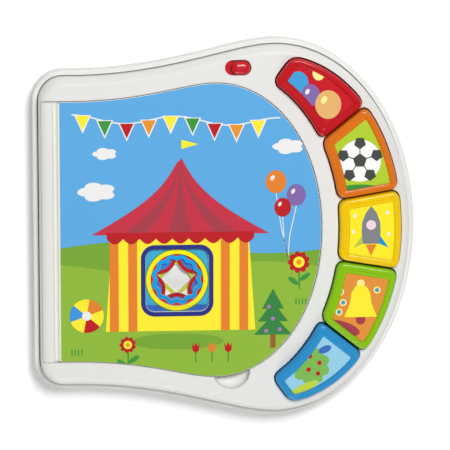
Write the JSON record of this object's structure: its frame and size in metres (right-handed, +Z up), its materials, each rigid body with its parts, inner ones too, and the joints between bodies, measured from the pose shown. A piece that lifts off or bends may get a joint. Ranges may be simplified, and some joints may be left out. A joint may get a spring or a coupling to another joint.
{
  "type": "sound book",
  "caption": "Children's sound book: die-cut boards in a moulded tray, with push buttons in an arc and a slide switch, battery powered.",
  "frame": {"origin": "on the surface it lies on, under the middle of the housing", "axes": "+Z up out of the printed cover, +Y to the top of the book, +X from the spine to the buttons"},
  "size_m": [0.2806, 0.2806, 0.0385],
  "materials": {
    "shell": "moulded white plastic with a soft satin gloss",
    "leaves": "white board with printed rings round each opening",
    "cover_print": "laminated board, printed in flat fields of colour",
    "button_red": "glossy red plastic",
    "button_orange": "glossy orange plastic",
    "button_yellow": "glossy yellow plastic",
    "button_green": "glossy green plastic",
    "button_blue": "glossy blue plastic",
    "label_print": "printed label under a clear film",
    "switch_red": "glossy red plastic",
    "silicone": "soft silicone",
    "circuit_board": "green board with a solder mask",
    "resin": "black resin",
    "nickel": "bright nickel plate",
    "steel": "zinc-plated steel",
    "cone_paper": "black pulp",
    "cell": "plain wrapped cell",
    "foot_rubber": "dark grey rubber"
  },
  "bodies": {
    "housing": {"rear_shell": "shell", "front_shell": "shell", "spine_strip": "shell", "pages": "leaves", "dome_red": "silicone", "dome_orange": "silicone", "dome_yellow": "silicone", "dome_green": "silicone", "dome_blue": "silicone", "keypad_board": "circuit_board", "sound_chip": "resin", "keypad_screw_1": "steel", "keypad_screw_2": "steel", "keypad_screw_3": "steel", "keypad_screw_4": "steel", "switch_body": "nickel", "switch_board": "circuit_board", "speaker_basket": "steel", "speaker_cone": "cone_paper", "speaker_bracket": "nickel", "bracket_screw_1": "steel", "bracket_screw_2": "steel", "battery_door_screw": "steel", "battery_door": "shell", "battery_1": "cell", "battery_2": "cell", "battery_3": "cell", "contact_negative": "nickel", "contact_link_left": "nickel", "contact_link_right": "nickel", "contact_positive": "nickel", "housing_screw_upper_left": "steel", "housing_screw_lower_left": "steel", "housing_screw_upper_middle": "steel", "housing_screw_lower_middle": "steel", "housing_screw_upper_right": "steel", "housing_screw_lower_right": "steel", "housing_screw_right": "steel", "spine_screw_upper": "steel", "spine_screw_lower": "steel", "foot_upper_left": "foot_rubber", "foot_lower_left": "foot_rubber", "foot_upper_right": "foot_rubber", "foot_lower_right": "foot_rubber"},
    "cover": {"cover_board": "cover_print"},
    "red_button": {"button_red": "button_red", "label_red": "label_print"},
    "orange_button": {"button_orange": "button_orange", "label_orange": "label_print"},
    "yellow_button": {"button_yellow": "button_yellow", "label_yellow": "label_print"},
    "green_button": {"button_green": "button_green", "label_green": "label_print"},
    "blue_button": {"button_blue": "button_blue", "label_blue": "label_print"},
    "switch": {"power_switch": "switch_red", "switch_lever": "resin"}
  },
  "joints": [
    {"name": "cover_hinge", "type": "hinge", "parent": "housing", "child": "cover", "pos_m": [-0.1221, 0, 0.03205], "axis": [0, -1, 0], "range_deg": [0, 175]},
    {"name": "red_press", "type": "slide", "parent": "housing", "child": "red_button", "axis": [0, 0, -1], "range_m": [0, 0.003], "stiffness_N_per_m": 400, "deforming": ["dome_red"]},
    {"name": "orange_press", "type": "slide", "parent": "housing", "child": "orange_button", "axis": [0, 0, -1], "range_m": [0, 0.003], "stiffness_N_per_m": 400, "deforming": ["dome_orange"]},
    {"name": "yellow_press", "type": "slide", "parent": "housing", "child": "yellow_button", "axis": [0, 0, -1], "range_m": [0, 0.003], "stiffness_N_per_m": 400, "deforming": ["dome_yellow"]},
    {"name": "green_press", "type": "slide", "parent": "housing", "child": "green_button", "axis": [0, 0, -1], "range_m": [0, 0.003], "stiffness_N_per_m": 400, "deforming": ["dome_green"]},
    {"name": "blue_press", "type": "slide", "parent": "housing", "child": "blue_button", "axis": [0, 0, -1], "range_m": [0, 0.003], "stiffness_N_per_m": 400, "deforming": ["dome_blue"]},
    {"name": "switch_slide", "type": "slide", "parent": "housing", "child": "switch", "axis": [-1, 0, 0], "range_m": [0, 0.004]}
  ]
}
